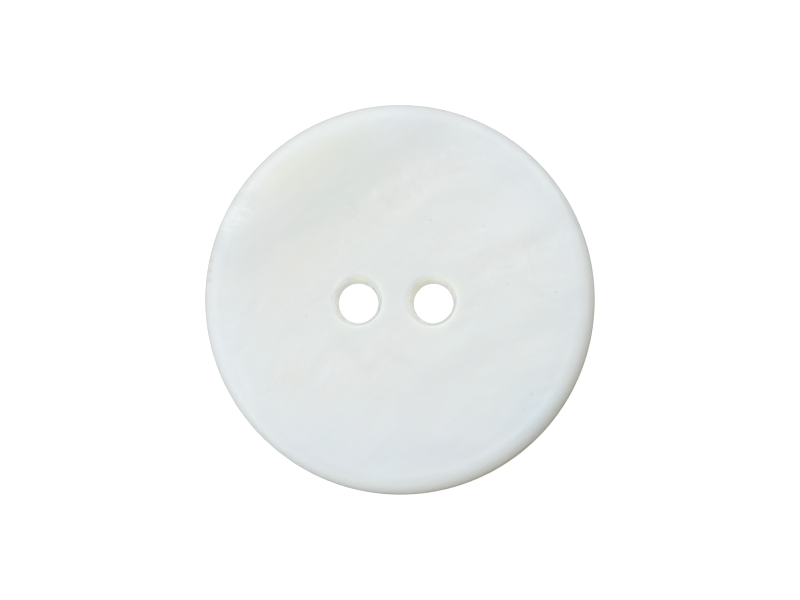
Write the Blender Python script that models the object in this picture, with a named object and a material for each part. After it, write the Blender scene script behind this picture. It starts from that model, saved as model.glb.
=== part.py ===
"""A flat two-hole sew-on button, turned and drilled from one piece of white
mother-of-pearl shell.

The button lies on its flat back with its face up. Its axis is +Z, the back is
on z = 0, and the two thread holes lie side by side along X. All lengths are in
metres.
"""

import math

import bmesh
import bpy
from mathutils import Vector

# Blank
DIAMETER = 0.0200  # over the rim
THICKNESS = 0.0025  # from the back to the crest of the face
SHOULDER = 0.00092  # rolled edge between face and rim
BACK_EDGE = 0.00045  # smaller round between rim and back

# Face: a flat middle, sunk a little below a crest near the rim
WELL_RADIUS = 0.0046
WELL_DEPTH = 0.00005
CREST_RADIUS = 0.0084
CREST_FALL = 0.00002  # soft fall from the crest to where the shoulder starts

# Thread holes: narrow at the back, opening a little to a rounded front lip
HOLE_DIAMETER = 0.0020
HOLE_SPACING = 0.00384
HOLE_TAPER = 0.00013  # growth of the radius from back to front
HOLE_LIP = 0.00024  # radius of the rounded front lip
HOLE_BACK_LIP = 0.00008
PAIR_OFFSET = (-0.00024, -0.00013)  # the pair was drilled a little off centre

# Facets
TURN_STEPS = 96
SHOULDER_STEPS = 9
BACK_EDGE_STEPS = 4
FACE_STEPS = 5
HOLE_STEPS = 40
LIP_STEPS = 4

SHELL_COLOUR = (0.76, 0.79, 0.78, 1.0)
SHELL_ROUGHNESS = 0.3
SHELL_METALLIC = 0.0


def clear_scene():
    for item in list(bpy.data.objects):
        bpy.data.objects.remove(item, do_unlink=True)


def shell_material():
    material = bpy.data.materials.new("mother_of_pearl")
    material.use_nodes = True
    shader = material.node_tree.nodes["Principled BSDF"]
    shader.inputs["Base Color"].default_value = SHELL_COLOUR
    shader.inputs["Roughness"].default_value = SHELL_ROUGHNESS
    shader.inputs["Metallic"].default_value = SHELL_METALLIC
    material.diffuse_color = SHELL_COLOUR
    return material


def smooth_step(t):
    return t * t * (3.0 - 2.0 * t)


def blank_profile():
    """The turned outline, from the edge of the well over the crest, round the
    shoulder, down the rim and round to the back, as (radius, height)."""
    rim = DIAMETER / 2
    floor = THICKNESS - WELL_DEPTH
    start = rim - SHOULDER
    top = THICKNESS - CREST_FALL
    points = []
    for i in range(FACE_STEPS):
        t = i / FACE_STEPS
        radius = WELL_RADIUS + (CREST_RADIUS - WELL_RADIUS) * t
        points.append((radius, floor + WELL_DEPTH * smooth_step(t)))
    points.append((CREST_RADIUS, THICKNESS))
    for i in range(SHOULDER_STEPS + 1):
        a = 0.5 * math.pi * i / SHOULDER_STEPS
        points.append(
            (start + SHOULDER * math.sin(a), top - SHOULDER * (1.0 - math.cos(a)))
        )
    for i in range(BACK_EDGE_STEPS + 1):
        a = 0.5 * math.pi * i / BACK_EDGE_STEPS
        points.append(
            (
                rim - BACK_EDGE * (1.0 - math.cos(a)),
                BACK_EDGE * (1.0 - math.sin(a)),
            )
        )
    return points


def hole_profile():
    """Outline of the drilled space, from above the face to below the back."""
    narrow = HOLE_DIAMETER / 2
    wide = narrow + HOLE_TAPER
    face = THICKNESS - WELL_DEPTH
    clear = 0.0006
    points = [(wide + HOLE_LIP, face + clear)]
    for i in range(LIP_STEPS + 1):
        a = 0.5 * math.pi * i / LIP_STEPS
        points.append(
            (
                wide + HOLE_LIP * (1.0 - math.sin(a)),
                face - HOLE_LIP * (1.0 - math.cos(a)),
            )
        )
    points.append((narrow, HOLE_BACK_LIP))
    points.append((narrow + HOLE_BACK_LIP, 0.0))
    points.append((narrow + HOLE_BACK_LIP, -clear))
    return points


def turned(name, profile, steps):
    """A solid of revolution about Z from a profile, closed by a flat cap at
    each end."""
    mesh = bpy.data.meshes.new(name)
    bm = bmesh.new()
    points = [bm.verts.new((radius, 0.0, height)) for radius, height in profile]
    edges = [bm.edges.new(pair) for pair in zip(points, points[1:])]
    bmesh.ops.spin(
        bm,
        geom=points + edges,
        cent=Vector((0.0, 0.0, 0.0)),
        axis=Vector((0.0, 0.0, 1.0)),
        angle=2.0 * math.pi,
        steps=steps,
        use_merge=True,
    )
    bmesh.ops.remove_doubles(bm, verts=bm.verts, dist=1e-6)
    bmesh.ops.holes_fill(
        bm, edges=[e for e in bm.edges if e.is_boundary], sides=0
    )
    bmesh.ops.recalc_face_normals(bm, faces=bm.faces)
    bm.to_mesh(mesh)
    bm.free()
    item = bpy.data.objects.new(name, mesh)
    bpy.context.scene.collection.objects.link(item)
    return item


def thread_hole(name, side):
    hole = turned(name, hole_profile(), HOLE_STEPS)
    hole.location = (
        PAIR_OFFSET[0] + side * HOLE_SPACING / 2,
        PAIR_OFFSET[1],
        0.0,
    )
    hole.hide_render = True
    hole.display_type = "WIRE"
    return hole


def build():
    clear_scene()

    disc = turned("button_disc", blank_profile(), TURN_STEPS)
    disc.data.materials.append(shell_material())
    disc.data.shade_smooth()
    disc.data.set_sharp_from_angle(angle=math.radians(40.0))

    for name, side in (("left_hole_cutter", -1.0), ("right_hole_cutter", 1.0)):
        drill = disc.modifiers.new(name.replace("_cutter", ""), "BOOLEAN")
        drill.operation = "DIFFERENCE"
        drill.solver = "EXACT"
        drill.object = thread_hole(name, side)


build()
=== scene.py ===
"""The looks of a two-hole sew-on button of white mother-of-pearl shell.

The disc is remodelled as one fine closed mesh that stands where the plain
solid stands. Lengths in the modelling code are millimetres and are turned into
metres when a mesh is made. +X is to the right of the picture, +Y is up in the
picture and +Z comes out of the button's face.
"""

import math

import bpy
import numpy as np
from mathutils import Matrix, Vector


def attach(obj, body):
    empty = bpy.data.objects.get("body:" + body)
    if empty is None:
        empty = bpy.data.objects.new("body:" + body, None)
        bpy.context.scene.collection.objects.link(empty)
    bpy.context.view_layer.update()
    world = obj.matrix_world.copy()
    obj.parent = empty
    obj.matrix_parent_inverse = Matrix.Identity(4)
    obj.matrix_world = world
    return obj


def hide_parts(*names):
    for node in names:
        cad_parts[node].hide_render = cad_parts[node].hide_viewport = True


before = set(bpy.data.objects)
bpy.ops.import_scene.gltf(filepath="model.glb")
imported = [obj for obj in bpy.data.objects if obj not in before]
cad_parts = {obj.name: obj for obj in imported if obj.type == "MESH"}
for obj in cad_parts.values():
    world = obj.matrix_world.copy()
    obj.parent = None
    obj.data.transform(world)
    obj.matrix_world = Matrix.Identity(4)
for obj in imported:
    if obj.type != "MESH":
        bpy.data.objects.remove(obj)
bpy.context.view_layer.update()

MM = 0.001

# Blank
RIM = 10.0
THICK = 2.5
SHOULDER = 0.92
BACK_EDGE = 0.45
WELL_RADIUS = 4.6
WELL_DEPTH = 0.05
CREST_RADIUS = 8.4
CREST_FALL = 0.02

# Thread holes
HOLE = 1.02
HOLE_SPACING = 3.84
HOLE_TAPER = 0.12
HOLE_LIP = 0.24
BACK_LIP = 0.08
PAIR = np.array((-0.24, -0.13))
HOLE_DRIFT = {-1: (-0.004, 0.002), 1: (0.020, -0.012)}  # drilling error, by side
LIP_DRIFT = {-1: (0.0, 0.0), 1: (-0.05, 0.0)}  # front lip against back, by side

# Uneven places of the front lips, by side: bearing clockwise from +X, spread, size
LIP_CHIPS = {
    -1: ((285.0, 32.0, 0.085), (225.0, 22.0, -0.10), (185.0, 18.0, 0.04)),
    1: ((237.0, 20.0, 0.060), (282.0, 18.0, -0.01), (180.0, 22.0, 0.09)),
}

# Mesh
TURN = 360
SPLIT = 60  # quads along the line between the two holes
INNER_RING = 4.3

scene = bpy.context.scene


# ---------------------------------------------------------------- geometry


def smooth(t):
    t = np.clip(t, 0.0, 1.0)
    return t * t * (3.0 - 2.0 * t)


def face_height(r):
    """Height of the polished face at a distance from the button's axis."""
    rise = smooth((r - WELL_RADIUS) / (CREST_RADIUS - WELL_RADIUS))
    fall = smooth((r - CREST_RADIUS) / (RIM - SHOULDER - CREST_RADIUS))
    return THICK - WELL_DEPTH + WELL_DEPTH * rise - CREST_FALL * fall


def swell(x, y):
    """The slow unevenness that hand grinding leaves on a shell face."""
    s = np.hypot(x - 15.8, y + 26.0)
    t = 32.0 * np.arctan2(y + 26.0, x - 15.8)
    return (
        0.0040 * np.sin(1.15 * s + 0.35 * np.sin(0.55 * t + 0.4))
        + 0.0022 * np.sin(2.30 * s + 0.21 * t + 1.3)
        + 0.0030 * np.sin(0.62 * x - 0.48 * y + 0.9)
    )


class Shape:
    """Collects points with two texture places each, and faces between them."""

    def __init__(self):
        self.points, self.front, self.back = [], [], []
        self.faces, self.is_back = [], []

    def row(self, xyz, front, back):
        first = len(self.points)
        self.points.extend(map(tuple, xyz))
        self.front.extend(map(tuple, front))
        self.back.extend(map(tuple, back))
        return list(range(first, first + len(xyz)))

    def strip(self, outer, inner, back=False, ring=True):
        """Quads between two rows of points, wound so that they face up where
        the outer row lies outside the inner one and both run counterclockwise."""
        n = len(outer)
        for i in range(n if ring else n - 1):
            j = (i + 1) % n
            self.faces.append((outer[i], outer[j], inner[j], inner[i]))
            self.is_back.append(back)


def disc_mesh():
    shape = Shape()
    angle = 2.0 * math.pi * np.arange(TURN) / TURN
    unit = np.c_[np.cos(angle), np.sin(angle)]

    # Where the flattened outline lies on the texture square
    front_reach = (
        RIM - SHOULDER + 0.5 * math.pi * SHOULDER + THICK - CREST_FALL - SHOULDER - BACK_EDGE
    )
    back_reach = RIM - BACK_EDGE + 0.5 * math.pi * BACK_EDGE

    def turned_row(r, z, front_r, back_r, centre=(0.0, 0.0), swollen=0.0):
        xy = unit * r + np.array(centre)
        height = np.full(TURN, float(z))
        if swollen:
            height = height + swollen * swell(xy[:, 0], xy[:, 1])
        return shape.row(
            np.c_[xy, height], unit * front_r + np.array(centre), unit * back_r + np.array(centre)
        )

    # Outside of the blank, from the back up over the shoulder to the crest
    rows = []
    for i in range(9):
        a = 0.5 * math.pi * i / 8
        rows.append(
            turned_row(
                RIM - BACK_EDGE * (1.0 - math.sin(a)),
                BACK_EDGE * (1.0 - math.cos(a)),
                front_reach,
                RIM - BACK_EDGE + BACK_EDGE * a,
            )
        )
    seam = len(rows) - 1
    top = THICK - CREST_FALL
    wall = top - SHOULDER - BACK_EDGE
    for i in range(1, 9):
        rows.append(
            turned_row(RIM, BACK_EDGE + wall * i / 8, front_reach - wall * i / 8, back_reach)
        )
    for i in range(1, 29):
        a = 0.5 * math.pi * (1.0 - i / 28)
        rows.append(
            turned_row(
                RIM - SHOULDER * (1.0 - math.sin(a)),
                top - SHOULDER * (1.0 - math.cos(a)),
                RIM - SHOULDER + SHOULDER * a,
                back_reach,
                swollen=math.cos(a) ** 2,
            )
        )
    # Face, with the rings drifting from the axis to the pair of holes
    radii = np.concatenate(
        (
            np.linspace(RIM - SHOULDER, CREST_RADIUS, 8)[1:],
            np.linspace(CREST_RADIUS, INNER_RING, 26)[1:],
        )
    )
    for r in radii:
        drift = PAIR * float(smooth((CREST_RADIUS - r) / (CREST_RADIUS - INNER_RING)))
        xy = unit * r + drift
        far = np.hypot(xy[:, 0], xy[:, 1])
        z = face_height(far) + swell(xy[:, 0], xy[:, 1])
        rows.append(shape.row(np.c_[xy, z], xy, xy))
    for k in range(len(rows) - 1):
        shape.strip(rows[k], rows[k + 1], back=k < seam)
    face_ring = rows[-1]

    # Back, from the rounded edge in to the same ring
    under = [rows[0]]
    for r in np.linspace(RIM - BACK_EDGE, INNER_RING, 12)[1:]:
        drift = PAIR * float(smooth((CREST_RADIUS - r) / (CREST_RADIUS - INNER_RING)))
        xy = unit * r + drift
        under.append(shape.row(np.c_[xy, np.zeros(TURN)], xy, xy))
    for k in range(len(under) - 1):
        shape.strip(under[k + 1], under[k], back=True)
    back_ring = under[-1]

    # The straight line that parts the two holes, on the face and on the back
    step = np.linspace(1.0, -1.0, SPLIT + 1)[1:-1] * INNER_RING
    line = np.c_[np.full(len(step), PAIR[0]), PAIR[1] + step]
    far = np.hypot(line[:, 0], line[:, 1])
    face_line = shape.row(
        np.c_[line, face_height(far) + swell(line[:, 0], line[:, 1])], line, line
    )
    back_line = shape.row(np.c_[line, np.zeros(len(line))], line, line)

    quarter = TURN // 4
    halves = {
        -1: [i % TURN for i in range(quarter, 3 * quarter + 1)],
        1: [i % TURN for i in range(3 * quarter, 5 * quarter + 1)],
    }
    for side in (-1, 1):
        arc = halves[side]
        if side < 0:
            face_loop = [face_ring[i] for i in arc] + face_line[::-1]
            back_loop = [back_ring[i] for i in arc] + back_line[::-1]
        else:
            face_loop = [face_ring[i] for i in arc] + face_line
            back_loop = [back_ring[i] for i in arc] + back_line
        edge = np.array([shape.points[i][:2] for i in face_loop])
        axis = PAIR + np.array((side * HOLE_SPACING / 2, 0.0)) + np.array(HOLE_DRIFT[side])
        around = np.arctan2(edge[:, 1] - axis[1], edge[:, 0] - axis[0])
        ray = np.c_[np.cos(around), np.sin(around)]
        count = len(face_loop)
        lip_axis = axis + np.array(LIP_DRIFT[side])
        # A drilled and tumbled lip is never quite round.
        wobble = 0.010 * np.sin(3.0 * around + 1.9) + 0.006 * np.sin(7.0 * around + 0.4 * side)
        for bearing, spread, size in LIP_CHIPS[side]:
            turned = np.angle(np.exp(1j * (around + math.radians(bearing))))
            wobble = wobble + size * np.exp(-0.5 * (turned / math.radians(spread)) ** 2)
        wide = HOLE + HOLE_TAPER
        mouth = wide + HOLE_LIP + wobble

        previous = face_loop
        for k in range(1, 15):
            e = 1.0 - (1.0 - k / 14) ** 1.6
            goal = lip_axis + ray * mouth[:, None]
            xy = edge + (goal - edge) * e
            far = np.hypot(xy[:, 0], xy[:, 1])
            z = face_height(far) + swell(xy[:, 0], xy[:, 1])
            now = shape.row(np.c_[xy, z], xy, xy)
            shape.strip(previous, now)
            previous = now
        # Rounded lip
        ground = float(face_height(np.hypot(*lip_axis)))
        for k in range(1, 11):
            a = 0.5 * math.pi * k / 10
            r = wide + (mouth - wide) * (1.0 - math.sin(a))
            xy = lip_axis + ray * r[:, None]
            z = ground - HOLE_LIP * (1.0 - math.cos(a)) + (1.0 - k / 10) * swell(xy[:, 0], xy[:, 1])
            uv = axis + ray * (1.35 - 0.30 * k / 10)
            now = shape.row(np.c_[xy, z], uv, uv)
            shape.strip(previous, now)
            previous = now
        # Bore, closing slightly towards the back
        bottom = ground - HOLE_LIP
        for k in range(1, 15):
            t = k / 14
            z = bottom + (BACK_LIP - bottom) * t
            centre = lip_axis + (axis - lip_axis) * t
            score = 0.003 * np.sin(around * 5.0 + z * 9.0) * math.sin(math.pi * t)
            r = wide + (HOLE - wide) * t + score
            xy = centre + ray * r[:, None]
            uv = axis + ray * (1.05 - 0.75 * t)
            now = shape.row(np.c_[xy, np.full(count, z)], uv, uv)
            shape.strip(previous, now)
            previous = now
        for k in range(1, 5):
            a = 0.5 * math.pi * k / 4
            r = HOLE + BACK_LIP * (1.0 - math.cos(a))
            z = BACK_LIP * (1.0 - math.sin(a))
            xy = axis + ray * r
            uv = axis + ray * (0.30 - 0.10 * k / 4)
            now = shape.row(np.c_[xy, np.full(count, z)], uv, xy)
            shape.strip(previous, now)
            previous = now
        # Back of the button around this hole
        for k in range(1, 9):
            e = k / 8
            xy = axis + ray * (HOLE + BACK_LIP)
            xy = xy + (edge - xy) * e**1.3
            if k < 8:
                now = shape.row(np.c_[xy, np.zeros(count)], xy, xy)
            else:
                now = back_loop
            shape.strip(previous, now, back=True)
            previous = now

    mesh = bpy.data.meshes.new("button_face_and_rim")
    points = np.array(shape.points) * MM
    mesh.from_pydata(points.tolist(), [], shape.faces)
    mesh.validate()

    # Texture places: the face, shoulder, rim and bores as one flattened disc,
    # the back as a smaller one beside it.
    gap = 0.5
    shrink = 0.7
    span = (front_reach + shrink * back_reach) * (1.0 + math.sqrt(0.5)) + 2.0 * gap
    front_at = np.array((gap + front_reach,) * 2)
    back_at = np.array((span - gap - shrink * back_reach,) * 2)
    front = (np.array(shape.front) + front_at) / span
    back = (np.array(shape.back) * np.array((-shrink, shrink)) + back_at) / span
    layer = mesh.uv_layers.new(name="OFBake")
    corner = np.empty(len(mesh.loops), dtype=np.int32)
    mesh.loops.foreach_get("vertex_index", corner)
    size = np.empty(len(mesh.polygons), dtype=np.int32)
    mesh.polygons.foreach_get("loop_total", size)
    below = np.repeat(np.array(shape.is_back), size)
    places = np.where(below[:, None], back[corner], front[corner])
    layer.uv.foreach_set("vector", places.astype(np.float32).ravel())
    mesh.shade_smooth()
    return mesh


# ---------------------------------------------------------------- materials


class Net:
    """Short ways to add and join shader nodes."""

    def __init__(self, tree):
        self.tree = tree
        tree.nodes.clear()

    def add(self, kind, **settings):
        node = self.tree.nodes.new(kind)
        for key, value in settings.items():
            setattr(node, key, value)
        return node

    def put(self, socket, value):
        if isinstance(value, bpy.types.NodeSocket):
            self.tree.links.new(value, socket)
        else:
            socket.default_value = value

    def math(self, kind, *values, clamp=False):
        node = self.add("ShaderNodeMath", operation=kind, use_clamp=clamp)
        for socket, value in zip(node.inputs, values):
            self.put(socket, value)
        return node.outputs[0]

    def vector(self, kind, *values, scale=None):
        node = self.add("ShaderNodeVectorMath", operation=kind)
        for socket, value in zip(node.inputs, values):
            self.put(socket, value)
        if scale is not None:
            self.put(node.inputs["Scale"], scale)
        one = kind in ("DOT_PRODUCT", "LENGTH", "DISTANCE")
        return node.outputs["Value" if one else "Vector"]

    def split(self, value):
        node = self.add("ShaderNodeSeparateXYZ")
        self.put(node.inputs[0], value)
        return node.outputs

    def join(self, x, y, z):
        node = self.add("ShaderNodeCombineXYZ")
        for socket, value in zip(node.inputs, (x, y, z)):
            self.put(socket, value)
        return node.outputs[0]

    def ramp(self, value, low, high, start=0.0, end=1.0):
        node = self.add("ShaderNodeMapRange", interpolation_type="SMOOTHSTEP", clamp=False)
        for name, item in (
            ("Value", value),
            ("From Min", low),
            ("From Max", high),
            ("To Min", start),
            ("To Max", end),
        ):
            self.put(node.inputs[name], item)
        return node.outputs["Result"]

    def noise(self, place, scale, detail=2.0, rough=0.5, warp=0.0):
        node = self.add("ShaderNodeTexNoise")
        for name, item in (
            ("Vector", place),
            ("Scale", scale),
            ("Detail", detail),
            ("Roughness", rough),
            ("Distortion", warp),
        ):
            self.put(node.inputs[name], item)
        return node.outputs

    def patch(self, place, x, y, length, width, turn):
        """1 in the middle of a soft slanted patch, falling to 0 at its edge."""
        c, s = math.cos(math.radians(turn)), math.sin(math.radians(turn))
        off = self.vector("SUBTRACT", place, (x, y, 0.0))
        u = self.vector("DOT_PRODUCT", off, (c / length, s / length, 0.0))
        v = self.vector("DOT_PRODUCT", off, (-s / width, c / width, 0.0))
        far = self.math("SQRT", self.math("MULTIPLY_ADD", u, u, self.math("MULTIPLY", v, v)))
        return self.ramp(far, 1.0, 0.0)

    def tint(self, amount, colour, by):
        """colour times by, as far as amount says."""
        node = self.add("ShaderNodeMix", data_type="RGBA", blend_type="MULTIPLY")
        node.clamp_factor = True
        self.put(node.inputs[0], amount)
        self.put(node.inputs[6], colour)
        self.put(node.inputs[7], by if isinstance(by, bpy.types.NodeSocket) else (*by, 1.0))
        return node.outputs[2]


# Growth lines of the shell are arcs about a point far to the lower right.
GROWTH_CENTRE = (15.8, -26.0, 0.0)

SHELL = (0.724, 0.757, 0.764, 1.0)

# Soft slanted zones of the nacre: x, y, half length, half width, slant, tint.
ZONES = (
    # upper left: a dull zone with an olive edge, a green core and a warm flank
    (-3.40, 5.10, 8.2, 2.9, 33.0, (0.955, 0.957, 0.950)),
    (-4.85, 6.75, 4.8, 1.9, 33.0, (1.014, 1.004, 0.940)),
    (-3.40, 5.00, 4.6, 1.3, 37.0, (0.981, 1.003, 0.978)),
    (-2.60, 3.40, 6.4, 2.0, 25.0, (1.012, 0.997, 0.979)),
    (-5.40, 1.30, 4.6, 2.8, 28.0, (1.010, 0.997, 0.986)),
    (-0.80, 6.40, 2.6, 1.2, 33.0, (1.010, 1.000, 0.992)),
    # top: a dull blue notch at the rim
    (1.60, 8.60, 3.4, 1.7, -8.0, (0.964, 0.964, 0.966)),
    (0.20, 7.60, 3.4, 1.4, 30.0, (0.976, 0.980, 0.976)),
    (0.30, 9.10, 2.2, 1.5, 0.0, (0.980, 1.000, 1.022)),
    # right: paired dull and bright growth bands
    (5.90, 6.05, 4.8, 2.2, -40.0, (1.014, 1.014, 1.022)),
    (5.75, 2.55, 4.4, 0.85, 19.5, (0.988, 0.976, 0.972)),
    (7.60, 3.80, 2.2, 1.0, 20.0, (0.984, 0.978, 0.980)),
    (5.50, 1.52, 4.2, 0.46, 23.0, (1.016, 1.020, 1.016)),
    (8.25, 3.15, 1.4, 0.6, 25.0, (1.020, 1.020, 1.022)),
    (2.80, 2.40, 2.4, 0.9, 25.0, (1.014, 1.014, 1.012)),
    (4.60, 1.05, 2.4, 0.55, 22.0, (1.014, 1.014, 1.012)),
    (5.10, 4.05, 3.2, 1.5, 22.0, (1.010, 1.018, 1.028)),
    (5.45, 6.30, 1.8, 1.2, 30.0, (0.974, 0.976, 0.980)),
    (8.45, 4.60, 1.7, 0.7, -58.0, (0.974, 0.974, 0.976)),
    (4.90, 3.45, 3.4, 1.5, 24.0, (1.018, 1.020, 1.024)),
    (6.20, 2.15, 1.4, 0.35, 23.0, (1.030, 1.030, 1.030)),
    (8.20, -0.60, 3.0, 1.3, 25.0, (0.966, 0.970, 0.978)),
    (8.60, -1.70, 1.8, 1.2, 30.0, (0.974, 0.976, 0.980)),
    (6.20, -1.75, 2.2, 0.75, 27.0, (0.970, 0.982, 0.988)),
    (5.50, -2.30, 5.2, 0.95, 27.0, (0.974, 0.978, 0.978)),
    (4.60, -1.15, 4.6, 0.8, 26.0, (0.985, 1.012, 1.014)),
    (6.80, -4.20, 4.8, 2.0, 52.0, (0.980, 0.984, 0.990)),
    # upper middle: bright combed streaks
    (0.10, 6.15, 3.6, 0.5, 30.0, (1.014, 1.012, 1.008)),
    (1.90, 5.60, 2.6, 0.45, 28.0, (1.010, 1.010, 1.004)),
    (-1.20, 4.90, 2.2, 0.35, 33.0, (1.012, 1.010, 1.008)),
    (0.05, 4.00, 2.2, 1.2, 35.0, (1.012, 1.012, 1.010)),
    (-0.20, 5.50, 1.3, 0.7, 30.0, (0.984, 0.984, 0.984)),
    (2.50, 7.10, 2.6, 0.6, 24.0, (0.989, 0.986, 0.986)),
    (0.80, 5.00, 2.8, 0.7, 28.0, (1.024, 1.024, 1.022)),
    (3.40, 8.75, 1.2, 0.8, 20.0, (1.024, 1.022, 1.018)),
    (-2.50, 7.70, 2.6, 1.4, 33.0, (0.978, 0.978, 0.970)),
    # lower half, turning blue towards the rim
    (3.60, -6.20, 7.0, 4.6, 20.0, (0.962, 0.972, 0.988)),
    (-1.50, -7.60, 7.5, 2.6, 8.0, (0.972, 0.984, 1.010)),
    (-3.00, -6.00, 3.6, 1.3, 24.0, (0.992, 1.000, 1.022)),
    (6.90, -6.00, 2.6, 1.5, 48.0, (0.950, 0.988, 1.000)),
    # small clear and dull clouds
    (-6.80, -2.30, 4.4, 2.8, 20.0, (1.022, 1.022, 1.026)),
    (-1.50, -2.55, 1.2, 0.7, 30.0, (1.010, 1.010, 1.010)),
    (-3.45, -3.80, 1.9, 0.8, 38.0, (1.012, 1.012, 1.016)),
    (-5.60, -3.90, 1.6, 0.7, 24.0, (1.008, 0.992, 0.984)),
    (1.60, -1.95, 2.2, 1.5, 30.0, (1.014, 1.014, 1.014)),
    (-0.20, -4.10, 1.6, 0.65, 20.0, (1.016, 1.016, 1.018)),
    (-0.75, -6.60, 1.6, 0.9, 60.0, (1.020, 1.020, 1.024)),
    (-4.90, -6.00, 3.8, 1.9, 20.0, (1.006, 0.998, 1.012)),
    (-8.90, 2.30, 2.2, 1.1, 72.0, (0.962, 0.972, 0.995)),
    (2.40, -3.90, 4.2, 0.7, 34.0, (0.986, 0.984, 0.984)),
    (2.30, -2.55, 3.0, 0.75, 40.0, (1.030, 1.030, 1.032)),
    (1.80, -7.90, 5.4, 1.3, 8.0, (0.974, 0.972, 0.976)),
    (-8.75, -1.70, 1.6, 1.0, 60.0, (1.026, 1.022, 1.024)),
    (-8.00, -4.30, 2.4, 0.6, -62.0, (1.034, 1.032, 1.036)),
    (-3.50, -3.80, 1.6, 0.5, 30.0, (1.020, 1.020, 1.022)),
    (-7.60, 2.30, 2.4, 1.5, 50.0, (0.978, 0.976, 0.974)),
    (8.20, -3.85, 1.8, 0.9, 65.0, (0.974, 0.974, 0.976)),
    (9.30, -0.70, 1.0, 0.6, 86.0, (1.022, 1.022, 1.024)),
    (-8.85, 4.10, 1.0, 0.5, 65.0, (1.045, 1.045, 1.045)),
    (-9.25, 2.75, 1.0, 0.5, 73.0, (0.955, 0.957, 0.960)),
)

# Short cross grain that falls to the right.
CROSS_GRAIN = (
    (-2.25, 4.20, 1.25, 0.17, -27.0, (0.982, 0.982, 0.982)),
    (0.05, -3.10, 1.05, 0.22, -31.0, (0.984, 0.984, 0.984)),
    (6.10, 0.50, 0.90, 0.17, -33.0, (0.982, 0.982, 0.982)),
    (-1.30, 3.10, 0.80, 0.14, -38.0, (0.986, 0.986, 0.986)),
    (-2.25, -2.90, 2.6, 0.60, -45.0, (0.980, 0.980, 0.980)),
    (0.45, -2.45, 1.6, 0.45, -40.0, (1.012, 1.012, 1.012)),
    (5.40, 1.55, 0.9, 0.30, 18.0, (0.970, 0.970, 0.970)),
    (6.60, 0.55, 1.9, 0.40, -32.0, (0.980, 0.980, 0.980)),
    (-1.70, 4.40, 1.8, 0.35, -36.0, (0.985, 0.985, 0.983)),
    (-2.30, 4.60, 1.4, 0.30, 38.0, (0.984, 0.984, 0.982)),
    (0.10, -3.20, 2.4, 0.30, -37.0, (0.988, 0.988, 0.988)),
)

# Pin-prick pores (tone below 1) and painted highlight flecks (tone above 1): x, y, size, tone.
PORES_AND_GLINTS = (
    (1.60, 4.00, 0.13, 0.87),
    (4.31, 3.69, 0.12, 0.89),
    (8.00, 0.29, 0.16, 0.86),
    (-4.76, -0.88, 0.13, 0.89),
    (6.76, -4.92, 0.16, 0.88),
    (6.36, -5.70, 0.12, 0.91),
    (1.73, 3.04, 0.10, 0.92),
    (5.54, 0.73, 0.12, 0.91),
    (-9.62, 1.95, 0.16, 0.90),
    (-9.70, 1.45, 0.20, 0.88),
    (-9.72, 0.95, 0.18, 0.88),
    (-8.30, 6.20, 0.10, 0.95),
    (2.76, 7.73, 0.30, 1.035),
    (2.23, 7.32, 0.34, 1.030),
    (0.35, 6.22, 0.36, 1.030),
    (1.13, 5.94, 0.30, 1.026),
    (-1.25, 5.41, 0.42, 1.034),
    (-0.02, 4.39, 0.26, 1.024),
)


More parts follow.
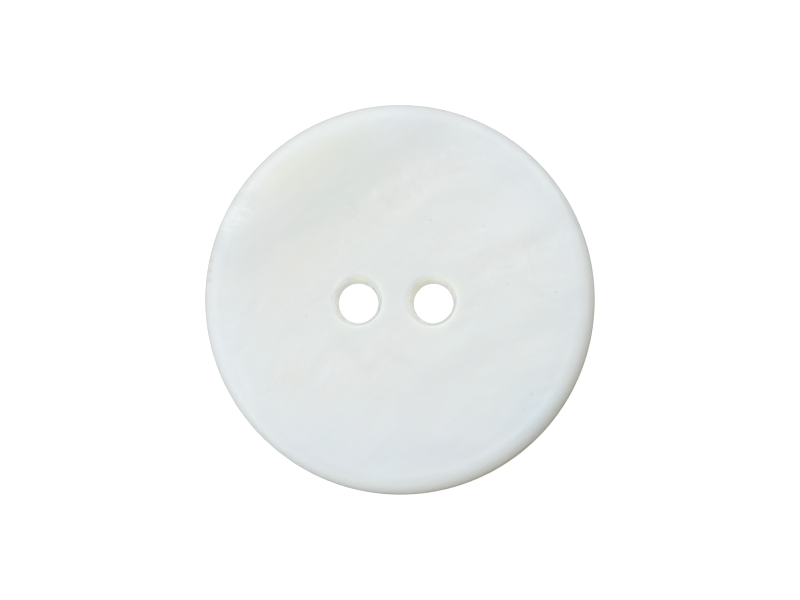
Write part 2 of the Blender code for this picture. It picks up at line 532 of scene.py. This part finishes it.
def nacre():
    material = bpy.data.materials.new("mother_of_pearl")
    material.use_nodes = True
    net = Net(material.node_tree)
    out = net.add("ShaderNodeOutputMaterial")
    shader = net.add("ShaderNodeBsdfPrincipled")
    net.tree.links.new(shader.outputs[0], out.inputs["Surface"])

    # Place in millimetres, and the same place stirred a little
    own = net.add("ShaderNodeTexCoord").outputs["Object"]
    place = net.vector("SCALE", own, scale=1000.0)
    stir = net.noise(place, 0.42, 2.0, 0.5)["Color"]
    stir = net.vector("SUBTRACT", stir, (0.5, 0.5, 0.5))
    bent = net.vector("ADD", place, net.vector("SCALE", stir, scale=0.7))
    x, y, z = net.split(bent)
    raw_x, raw_y, raw_z = net.split(place)

    normal = net.add("ShaderNodeNewGeometry").outputs["Normal"]
    facing = net.math("ABSOLUTE", net.split(normal)[2])
    upper_left = net.vector("DOT_PRODUCT", normal, (-0.7071, 0.7071, 0.0))

    # Growth coordinates: across the bands, along them, and down through the layers
    from_centre = net.vector("SUBTRACT", bent, GROWTH_CENTRE)
    gx, gy, _ = net.split(from_centre)
    across = net.math("SQRT", net.math("ADD", net.math("MULTIPLY", gx, gx), net.math("MULTIPLY", gy, gy)))
    along = net.math("MULTIPLY", net.math("ARCTAN2", gy, gx), 32.0)
    layer = net.math("MULTIPLY_ADD", raw_z, 9.0, across)

    wide_bands = net.noise(net.join(layer, net.math("MULTIPLY", along, 0.16), 0.0), 0.62, 2.0, 0.5)[0]
    streaks = net.noise(net.join(layer, net.math("MULTIPLY", along, 0.17), 3.0), 2.4, 3.0, 0.6)[0]
    hairs = net.noise(net.join(layer, net.math("MULTIPLY", along, 0.10), 7.0), 7.5, 2.0, 0.6)[0]
    patches = net.noise(net.vector("ADD", bent, (3.0, 8.0, 1.0)), 0.34, 2.0, 0.5)[0]
    combed = net.ramp(patches, 0.38, 0.58)
    grain = net.noise(place, 11.0, 2.0, 0.6)[0]
    hatch = net.noise(net.join(net.math("MULTIPLY", along, 2.2), across, 17.0), 1.7, 3.0, 0.65, 0.4)[0]
    hatched = net.math(
        "ADD",
        net.math("MULTIPLY", combed, 0.35),
        net.math(
            "ADD",
            net.patch(bent, 0.4, 6.0, 6.0, 1.9, 32.0),
            net.patch(bent, 6.0, 2.0, 4.4, 1.9, 22.0),
        ),
    )

    def swing(value, size):
        return net.math("MULTIPLY", net.math("SUBTRACT", value, 0.5), size)

    tone = net.math("ADD", 1.0, swing(wide_bands, 0.034))
    tone = net.math("ADD", tone, net.math("MULTIPLY", swing(streaks, 0.088), net.math("MULTIPLY_ADD", combed, 0.8, 0.2)))
    tone = net.math("ADD", tone, net.math("MULTIPLY", swing(hairs, 0.034), net.math("MULTIPLY_ADD", combed, 0.7, 0.3)))
    tone = net.math("ADD", tone, swing(grain, 0.010))
    tone = net.math("ADD", tone, net.math("MULTIPLY", swing(hatch, 0.100), hatched))

    colour = net.tint(1.0, SHELL, (1.0, 1.0, 1.0))
    for zx, zy, length, width, turn, by in ZONES:
        colour = net.tint(net.patch(bent, zx, zy, length, width, turn), colour, by)
    for zx, zy, length, width, turn, by in CROSS_GRAIN:
        colour = net.tint(net.patch(bent, zx, zy, length, width, turn), colour, by)

    # Faint rose and green play of colour that follows the growth bands
    play = net.noise(net.join(net.math("MULTIPLY", layer, 0.5), net.math("MULTIPLY", along, 0.16), 11.0), 1.2, 2.0, 0.5)[0]
    colour = net.tint(net.ramp(play, 0.50, 0.78), colour, (1.012, 0.994, 0.998))
    colour = net.tint(net.ramp(play, 0.50, 0.24), colour, (0.988, 1.004, 0.998))

    # Towards the rolled edge the shell turns bluer; on the left shoulder an arc of painted shade
    far = net.math("SQRT", net.math("ADD", net.math("MULTIPLY", raw_x, raw_x), net.math("MULTIPLY", raw_y, raw_y)))
    lean = net.math("ADD", net.math("MULTIPLY", raw_x, -0.0588), net.math("MULTIPLY", raw_y, 0.0809))
    colour = net.tint(net.math("MULTIPLY", net.ramp(far, 6.6, 9.4), net.ramp(lean, 0.75, 0.30)), colour, (0.983, 1.000, 1.027))
    lean_left = net.math("ADD", net.math("MULTIPLY", raw_x, -0.0866), net.math("MULTIPLY", raw_y, 0.05))
    # Painted shade: an arc on the left shoulder is painted a little darker.
    ring = net.math("MULTIPLY", net.ramp(far, 8.95, 9.4), net.ramp(far, 9.92, 9.62))
    colour = net.tint(net.math("MULTIPLY", ring, net.ramp(lean_left, -0.45, 0.0)), colour, (0.957, 0.958, 0.962))
    # Painted light: the lower-right shoulder is painted lighter, to soften its shade.
    lean_low = net.math("MULTIPLY", net.math("SUBTRACT", raw_x, raw_y), 0.0707)
    painted_light_lower_right = net.math("MULTIPLY", net.math("MULTIPLY", net.ramp(far, 8.7, 9.2), net.ramp(far, 9.80, 9.50)), net.ramp(lean_low, 0.74, 0.93))
    colour = net.tint(painted_light_lower_right, colour, (1.045, 1.042, 1.042))
    # Painted shade: the lower-right rim edge, on the dim side, is painted warmer.
    lean_warm = net.math("ADD", net.math("MULTIPLY", raw_x, 0.0766), net.math("MULTIPLY", raw_y, -0.0643))
    colour = net.tint(net.math("MULTIPLY", net.ramp(far, 9.50, 9.85), net.ramp(lean_warm, 0.55, 0.90)), colour, (1.014, 1.000, 0.945))
    # Painted highlight: a lighter crescent on the upper-left shoulder, where the light falls.
    painted_highlight_crescent = net.math("MULTIPLY", net.ramp(far, 8.5, 9.3), net.ramp(lean, 0.66, 0.88))
    colour = net.tint(painted_highlight_crescent, colour, (1.028, 1.028, 1.036))
    # A feathered spot on the upper left shoulder: short strokes that point inwards, in relief, painted lighter as a
    # painted highlight
    ripple = net.math("MULTIPLY", net.patch(bent, -8.45, 4.05, 1.9, 0.95, 33.0), net.ramp(facing, 0.15, 0.45))
    stroke = net.vector("DOT_PRODUCT", place, (0.95, -0.40, 0.0))
    beside = net.vector("DOT_PRODUCT", place, (0.40, 0.92, 0.0))
    ripple_tone = net.noise(net.join(net.math("MULTIPLY", stroke, 0.8), net.math("MULTIPLY", beside, 2.6), 5.0), 1.5, 2.0, 0.6, 0.3)[0]
    colour = net.tint(net.math("MULTIPLY", ripple, net.ramp(ripple_tone, 0.44, 0.58)), colour, (1.085, 1.085, 1.092))
    colour = net.tint(net.patch(bent, -7.95, 5.05, 1.2, 0.6, 33.0), colour, (0.955, 0.955, 0.955))

    # Ground and drilled walls are cut across the layers. Round the rim a thin line of painted shade darkens the steep
    # wall;
    # in the holes the walls are warm where light soaks through, with painted light and shade: lighter away from the
    # light, darker facing it
    flat = net.join(raw_x, raw_y, 0.0)
    to_hole = net.math(
        "MINIMUM",
        net.vector("DISTANCE", flat, (PAIR[0] - HOLE_SPACING / 2, PAIR[1], 0.0)),
        net.vector("DISTANCE", flat, (PAIR[0] + HOLE_SPACING / 2, PAIR[1], 0.0)),
    )
    drilled = net.ramp(to_hole, 1.68, 1.45)
    cut = net.ramp(facing, 0.80, 0.10)
    rim_cut = net.math("MULTIPLY", net.ramp(facing, 0.55, 0.12), net.math("SUBTRACT", 1.0, drilled))
    # Painted shade: the steep rim wall is painted a little darker.
    colour = net.tint(rim_cut, colour, (0.962, 0.962, 0.970))
    # The lower rim wall is painted tan and darker: partly a guessed outer shell layer, partly painted shade.
    skin_and_shade = net.math("MULTIPLY_ADD", net.noise(place, 0.45, 3.0, 0.6)[0], 1.1, net.math("SUBTRACT", raw_z, 0.55))
    colour = net.tint(net.math("MULTIPLY", rim_cut, net.ramp(skin_and_shade, 2.0, 1.1)), colour, (0.850, 0.780, 0.690))
    hole_wall = net.math("MULTIPLY", net.ramp(facing, 0.40, 0.15), drilled)
    hole_lip = net.math("MULTIPLY", net.ramp(facing, 0.9990, 0.88), net.math("SUBTRACT", drilled, hole_wall))
    # Painted light and shade in the holes: walls and lips lighter where they face away from the light, lips darker
    # where they face it.
    dim = net.ramp(upper_left, -0.1, -0.8)
    colour = net.tint(net.math("MULTIPLY", hole_wall, net.ramp(upper_left, 0.5, -0.2)), colour, (1.140, 1.130, 1.062))
    colour = net.tint(net.math("MULTIPLY", hole_wall, dim), colour, (1.120, 1.120, 1.110))
    colour = net.tint(net.math("MULTIPLY", hole_lip, dim), colour, (1.080, 1.080, 1.070))
    colour = net.tint(net.math("MULTIPLY", hole_lip, net.ramp(upper_left, -0.5, 0.1)), colour, (0.815, 0.810, 0.800))
    colour = net.tint(net.math("MULTIPLY", hole_lip, net.ramp(upper_left, 0.25, 0.75)), colour, (0.850, 0.850, 0.842))
    # Painted shade: the bores are painted darker deep down, towards the back.
    colour = net.tint(net.math("MULTIPLY", drilled, net.ramp(raw_z, 0.60, 0.15)), colour, (0.835, 0.835, 0.835))
    olive = net.math("ADD", net.patch(flat, -2.05, 1.10, 1.0, 0.6, 0.0), net.patch(flat, 1.10, 0.92, 1.3, 0.6, 32.0))
    colour = net.tint(net.math("MULTIPLY", net.math("MULTIPLY", drilled, net.ramp(facing, 0.95, 0.5)), olive), colour, (0.985, 0.975, 0.865))
    # Painted light: the left hole's upper-left wall, which faces away from the light, is painted lighter.
    colour = net.tint(net.patch(flat, -3.02, 0.73, 0.85, 0.55, 45.0), colour, (1.065, 1.065, 1.078))
    laminae = net.noise(net.join(net.math("MULTIPLY", raw_z, 9.0), net.math("MULTIPLY", along, 0.12), 2.0), 1.6, 3.0, 0.65)[0]
    layered = net.math("MULTIPLY", cut, net.math("MAXIMUM", drilled, net.ramp(raw_z, 1.95, 1.55)))
    colour = net.tint(net.math("MULTIPLY", layered, net.ramp(laminae, 0.42, 0.66)), colour, (0.965, 0.955, 0.925))

    upward = net.ramp(facing, 0.10, 0.35)
    # Dark pores, and light flecks that are painted highlights.
    for px, py, size, pore_and_glint_tone in PORES_AND_GLINTS:
        spot = net.math("MULTIPLY", net.patch(place, px, py, size, size * 0.8, 20.0), upward)
        colour = net.tint(spot, colour, (pore_and_glint_tone, pore_and_glint_tone, pore_and_glint_tone))

    colour = net.vector("SCALE", colour, scale=tone)
    net.put(shader.inputs["Base Color"], colour)

    # Polish: a soft lustre, duller where the grain is open
    worn = net.noise(place, 1.9, 3.0, 0.6)[0]
    rough = net.math("ADD", net.math("MULTIPLY_ADD", worn, 0.12, 0.27), net.math("MULTIPLY", cut, 0.14))
    net.put(shader.inputs["Roughness"], rough)
    shader.inputs["IOR"].default_value = 1.53
    shader.inputs["Specular IOR Level"].default_value = 0.5
    soaked = net.ramp(to_hole, 2.3, 1.4)
    net.put(shader.inputs["Subsurface Weight"], net.math("MULTIPLY_ADD", soaked, 0.45, 0.5))
    shader.inputs["Subsurface Radius"].default_value = (1.0, 0.95, 0.75)
    net.put(shader.inputs["Subsurface Scale"], net.math("MULTIPLY_ADD", soaked, 0.0005, 0.0005))

    relief = net.math("ADD", net.math("MULTIPLY", streaks, 0.6), net.math("MULTIPLY", grain, 0.25))
    relief = net.math("ADD", relief, net.math("MULTIPLY", net.math("MULTIPLY", ripple, ripple_tone), 1.6))
    relief = net.math("ADD", relief, net.math("MULTIPLY", net.math("MULTIPLY", cut, laminae), 1.2))
    bump = net.add("ShaderNodeBump")
    bump.inputs["Strength"].default_value = 1.0
    bump.inputs["Distance"].default_value = 0.000006
    net.put(bump.inputs["Height"], relief)
    net.put(shader.inputs["Normal"], bump.outputs[0])
    return material


# ---------------------------------------------------------------- the piece

button = bpy.data.objects.new("pearl_button", disc_mesh())
scene.collection.objects.link(button)
button.data.materials.append(nacre())
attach(button, "root")
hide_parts("button_disc")


# ---------------------------------------------------------------- studio


def floor_material():
    material = bpy.data.materials.new("white_paper")
    material.use_nodes = True
    net = Net(material.node_tree)
    out = net.add("ShaderNodeOutputMaterial")
    seen = net.add("ShaderNodeLightPath").outputs["Is Camera Ray"]
    glow = net.add("ShaderNodeEmission")
    glow.inputs["Color"].default_value = (1.0, 1.0, 1.0, 1.0)
    # The paper is lit from below: through the thread holes it lights their walls
    spot = net.vector("SCALE", net.add("ShaderNodeTexCoord").outputs["Object"], scale=1000.0)
    to_hole = net.math(
        "MINIMUM",
        net.vector("DISTANCE", spot, (PAIR[0] - HOLE_SPACING / 2, PAIR[1], 0.0)),
        net.vector("DISTANCE", spot, (PAIR[0] + HOLE_SPACING / 2, PAIR[1], 0.0)),
    )
    through = net.ramp(to_hole, 1.1, 0.9, 0.0, 0.88)
    net.put(glow.inputs["Strength"], net.math("ADD", net.math("MULTIPLY", seen, 0.93), net.math("MULTIPLY", through, net.math("SUBTRACT", 1.0, seen))))
    paper = net.add("ShaderNodeBsdfDiffuse")
    fibre = net.noise(net.add("ShaderNodeTexCoord").outputs["Object"], 900.0, 3.0, 0.6)[0]
    grey = net.math("MULTIPLY_ADD", fibre, 0.02, 0.25)
    net.put(paper.inputs["Color"], net.join(grey, net.math("MULTIPLY", grey, 0.97), net.math("MULTIPLY", grey, 0.90)))
    both = net.add("ShaderNodeAddShader")
    net.tree.links.new(glow.outputs[0], both.inputs[0])
    net.tree.links.new(paper.outputs[0], both.inputs[1])
    net.tree.links.new(both.outputs[0], out.inputs["Surface"])
    return material


def studio_floor():
    half = 3.0
    z = -0.00002
    mesh = bpy.data.meshes.new("studio_floor")
    mesh.from_pydata(
        [(-half, -half, z), (half, -half, z), (half, half, z), (-half, half, z)],
        [],
        [(0, 1, 2, 3)],
    )
    mesh.materials.append(floor_material())
    item = bpy.data.objects.new("studio_floor", mesh)
    scene.collection.objects.link(item)


def towards(zenith, bearing):
    """Unit vector, with bearing counted clockwise from the picture's right."""
    zenith, bearing = math.radians(zenith), math.radians(bearing)
    return (
        math.sin(zenith) * math.cos(bearing),
        -math.sin(zenith) * math.sin(bearing),
        math.cos(zenith),
    )


# Soft lights round the table: zenith angle, bearing, strength. They stand close
# together on the upper left and leave the lower right dim and a little warm.
NEUTRAL = (1.0, 1.0, 1.0)
WARM = (1.0, 0.93, 0.80)
SOFT_LIGHTS = (
    (20.0, 225.0, 0.57, NEUTRAL),
    (40.0, 135.0, 1.11, NEUTRAL),
    (40.0, 180.0, 0.50, NEUTRAL),
    (40.0, 225.0, 0.30, NEUTRAL),
    (40.0, 270.0, 0.70, NEUTRAL),
    (40.0, 315.0, 0.73, NEUTRAL),
    (60.0, 0.0, 0.83, WARM),
    (60.0, 90.0, 0.66, WARM),
    (60.0, 315.0, 0.26, NEUTRAL),
    (80.0, 0.0, 0.27, WARM),
    (80.0, 90.0, 0.59, WARM),
    (80.0, 135.0, 2.14, NEUTRAL),
    (80.0, 180.0, 1.16, NEUTRAL),
    (80.0, 225.0, 1.46, NEUTRAL),
    (80.0, 270.0, 1.13, NEUTRAL),
    (80.0, 315.0, 1.95, NEUTRAL),
)


def studio_light():
    """A ring of broad soft lights. The camera itself sees plain white."""
    world = bpy.data.worlds.new("studio")
    world.use_nodes = True
    scene.world = world
    net = Net(world.node_tree)
    out = net.add("ShaderNodeOutputWorld")
    ray = net.vector("NORMALIZE", net.add("ShaderNodeTexCoord").outputs["Generated"])
    total = None
    for zenith, bearing, strength, hue in SOFT_LIGHTS:
        glow = net.math("MAXIMUM", net.vector("DOT_PRODUCT", ray, towards(zenith, bearing)), 0.0)
        glow = net.math("MULTIPLY", net.math("POWER", glow, 10.0), strength)
        glow = net.vector("SCALE", hue, scale=glow)
        total = glow if total is None else net.vector("ADD", total, glow)
    light = net.add("ShaderNodeBackground")
    net.put(light.inputs["Color"], total)
    light.inputs["Strength"].default_value = 1.08
    white = net.add("ShaderNodeBackground")
    white.inputs["Color"].default_value = (1.0, 1.0, 1.0, 1.0)
    white.inputs["Strength"].default_value = 1.0
    pick = net.add("ShaderNodeMixShader")
    net.put(pick.inputs[0], net.add("ShaderNodeLightPath").outputs["Is Camera Ray"])
    net.tree.links.new(light.outputs[0], pick.inputs[1])
    net.tree.links.new(white.outputs[0], pick.inputs[2])
    net.tree.links.new(pick.outputs[0], out.inputs["Surface"])


def picture_camera():
    """Almost straight down on the face, leaning a little from the lower right."""
    azimuth, elevation = math.radians(25.0), math.radians(86.4)
    lens = 300.0
    data = bpy.data.cameras.new("picture_camera")
    data.lens = lens
    data.sensor_width = 36.0
    data.sensor_fit = "HORIZONTAL"
    data.clip_start = 0.01
    data.clip_end = 50.0
    back = Vector(
        (
            math.sin(azimuth) * math.cos(elevation),
            -math.cos(azimuth) * math.cos(elevation),
            math.sin(elevation),
        )
    )
    up = Vector((0.0, 1.0, 0.0))
    up = (up - up.dot(back) * back).normalized()
    right = up.cross(back)
    pixels = 389.1  # the button's width in the picture
    distance = (800.0 * lens / 36.0) * (2.0 * RIM * MM) / pixels
    mid = Vector((0.0, 0.0, 1.0 * MM))
    pixel = 2.0 * RIM * MM / pixels
    aim = mid - right * (0.11 * pixel) - up * (0.16 * pixel)
    item = bpy.data.objects.new("picture_camera", data)
    turn = Matrix((right, up, back)).transposed().to_4x4()
    item.matrix_world = Matrix.Translation(aim + back * distance) @ turn
    scene.collection.objects.link(item)
    scene.camera = item


studio_floor()
studio_light()
picture_camera()

scene.view_settings.view_transform = "Standard"
scene.view_settings.look = "None"
scene.view_settings.exposure = 0.0
scene.view_settings.gamma = 1.0
